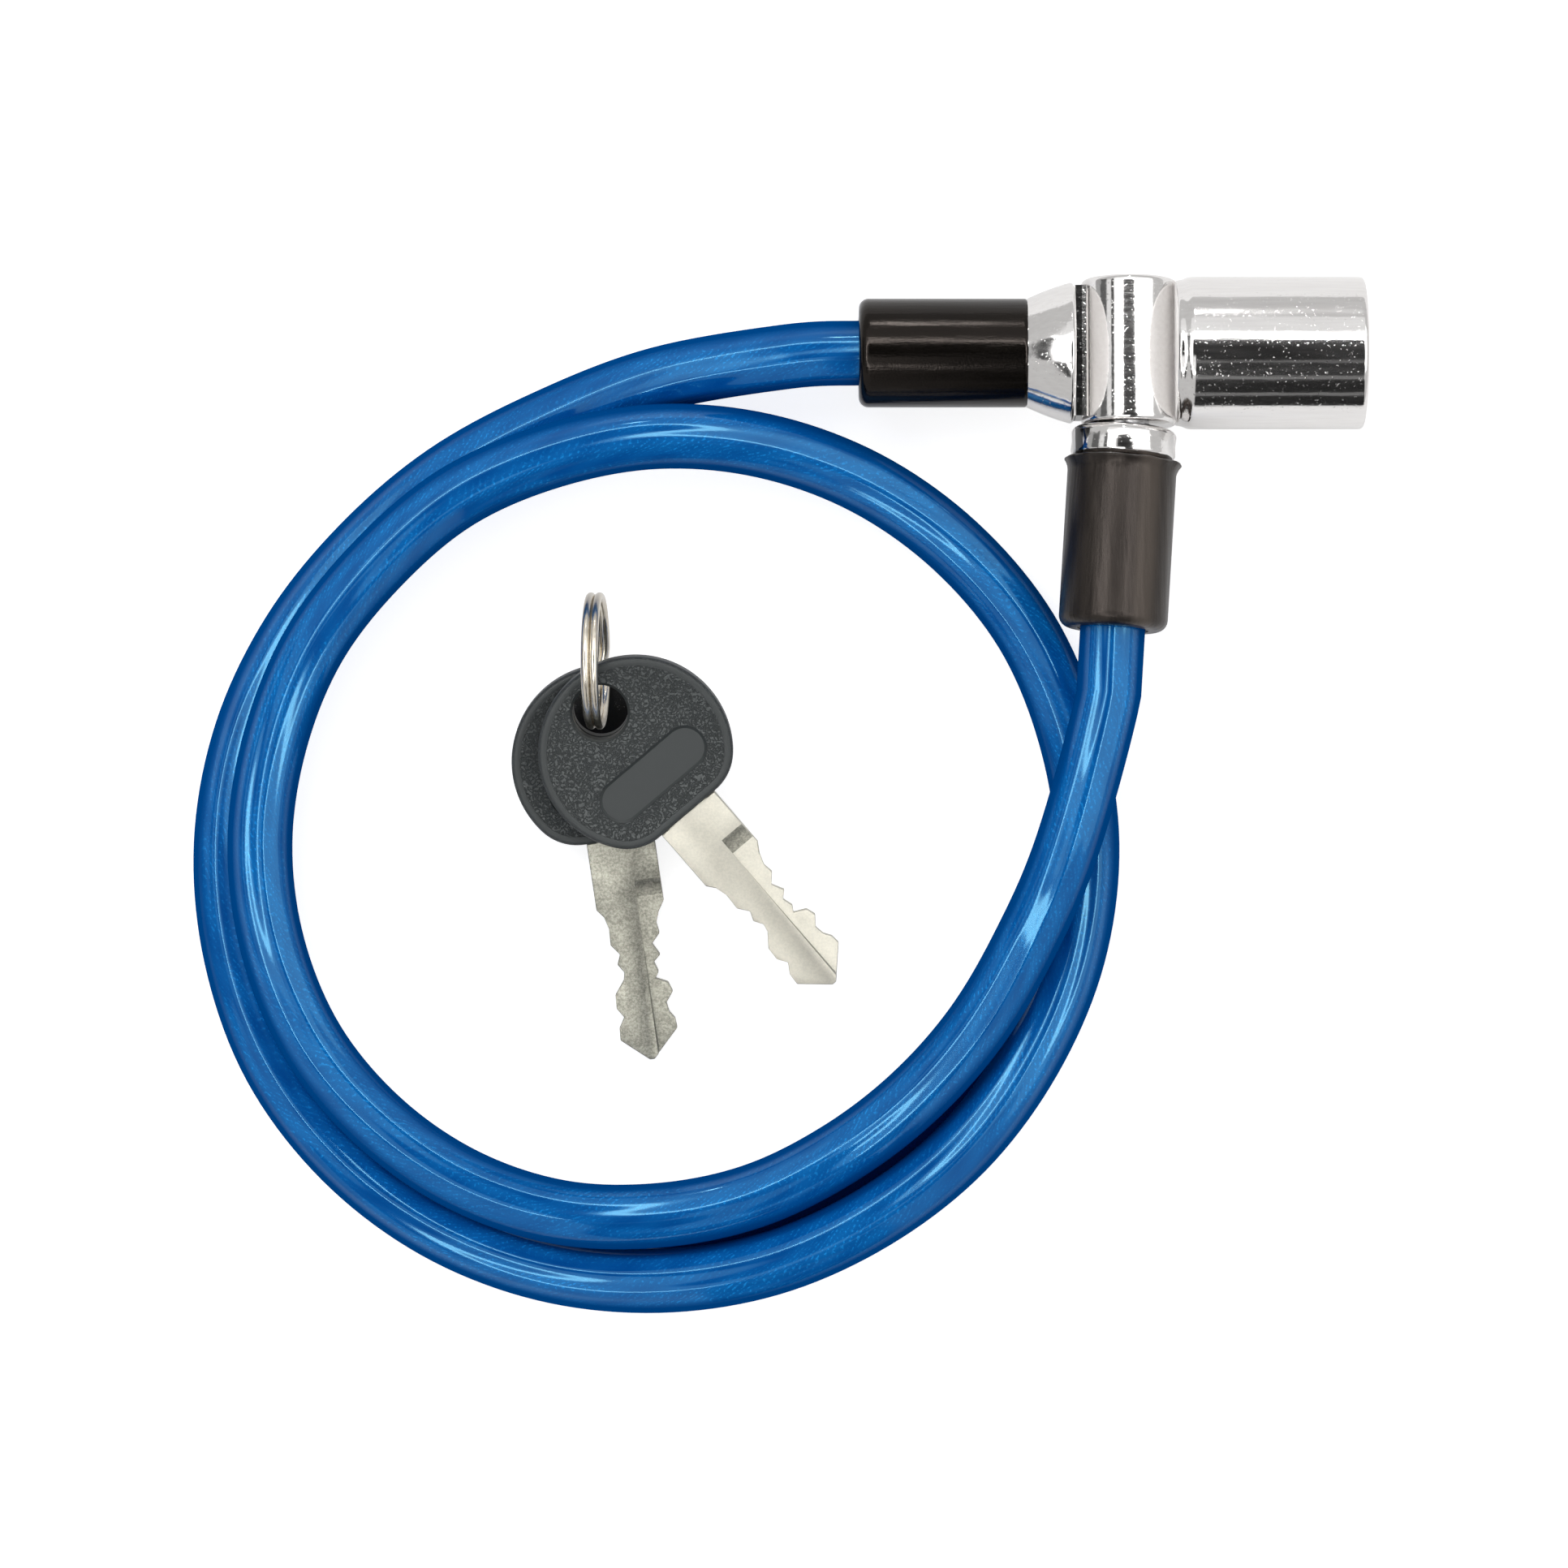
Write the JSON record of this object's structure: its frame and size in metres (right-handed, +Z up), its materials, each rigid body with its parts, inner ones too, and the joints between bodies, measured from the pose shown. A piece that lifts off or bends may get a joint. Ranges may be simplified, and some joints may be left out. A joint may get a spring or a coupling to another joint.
{
  "type": "keyed cable lock",
  "caption": "Vinyl-coated steel cable wound in a double loop, with a keyed barrel lock on one end, a locking plug on the other and two flat keys on a split ring.",
  "frame": {"origin": "on the axis of the round lock barrel, halfway along it", "axes": "+X along the barrel, out of its keyhole; +Z up from the table that the lock lies on; the plug points to -Y"},
  "size_m": [0.1446, 0.1281, 0.0189],
  "materials": {
    "chrome_casting": "polished chrome plate on a die casting",
    "gloss_black_sleeve": "glossy black vinyl sleeve",
    "satin_black_sleeve": "satin black shrink sleeve",
    "blue_vinyl": "glossy translucent blue vinyl over the strands",
    "wire_rope": "galvanised stranded steel",
    "bright_steel": "turned and ground steel",
    "cylinder_steel": "nickel-plated die casting",
    "wafer_brass": "stamped brass",
    "nickel_blade": "nickel-plated, cut key blade",
    "ring_nickel": "nickel-plated spring wire",
    "key_head_black": "grained black plastic"
  },
  "bodies": {
    "lock_head": {"lock_housing": "chrome_casting", "anchor_sleeve": "gloss_black_sleeve", "anchor_pin": "bright_steel", "anchor_ferrule": "bright_steel", "wire_rope": "wire_rope", "cable_jacket": "blue_vinyl", "cylinder_retainer": "bright_steel", "bolt_spring": "bright_steel"},
    "cylinder": {"key_cylinder": "cylinder_steel", "cam_stud": "bright_steel", "wafer_1": "wafer_brass", "wafer_2": "wafer_brass", "wafer_3": "wafer_brass", "wafer_4": "wafer_brass", "wafer_5": "wafer_brass", "wafer_springs": "bright_steel"},
    "bolt": {"locking_bolt": "bright_steel"},
    "plug": {"plug_pin": "bright_steel", "plug_collar": "chrome_casting", "plug_ferrule": "bright_steel", "plug_sleeve": "satin_black_sleeve"},
    "split_ring": {"key_ring": "ring_nickel"},
    "upper_key": {"upper_key_head": "key_head_black", "upper_key_blade": "nickel_blade"},
    "lower_key": {"lower_key_head": "key_head_black", "lower_key_blade": "nickel_blade"}
  },
  "joints": [
    {"name": "key_turn", "type": "hinge", "parent": "lock_head", "child": "cylinder", "pos_m": [0, 0, 0], "axis": [1, 0, 0], "range_deg": [0, 90]},
    {"name": "bolt_throw", "type": "slide", "parent": "lock_head", "child": "bolt", "axis": [-1, 0, 0], "range_m": [0, 0.0015], "deforming": ["bolt_spring"]},
    {"name": "plug_pull", "type": "slide", "parent": "lock_head", "child": "plug", "axis": [-0.0628, -0.9942, 0.087], "range_m": [0, 0.018], "deforming": ["cable_jacket", "wire_rope"]},
    {"name": "keys_lift", "type": "slide", "parent": "lock_head", "child": "split_ring", "axis": [0, 0, 1], "range_m": [0, 0.03]},
    {"name": "upper_key_swing", "type": "hinge", "parent": "split_ring", "child": "upper_key", "pos_m": [-0.083, -0.0439, -0.0005], "axis": [0, -0.1392, 0.9903], "range_deg": [-30, 45]},
    {"name": "lower_key_swing", "type": "hinge", "parent": "split_ring", "child": "lower_key", "pos_m": [-0.083, -0.0439, -0.0005], "axis": [0, -0.1392, 0.9903], "range_deg": [-45, 25]}
  ],
  "couplings": [
    {"joint": "bolt_throw", "follows": "key_turn", "m_per_rad": 0.000954}
  ]
}
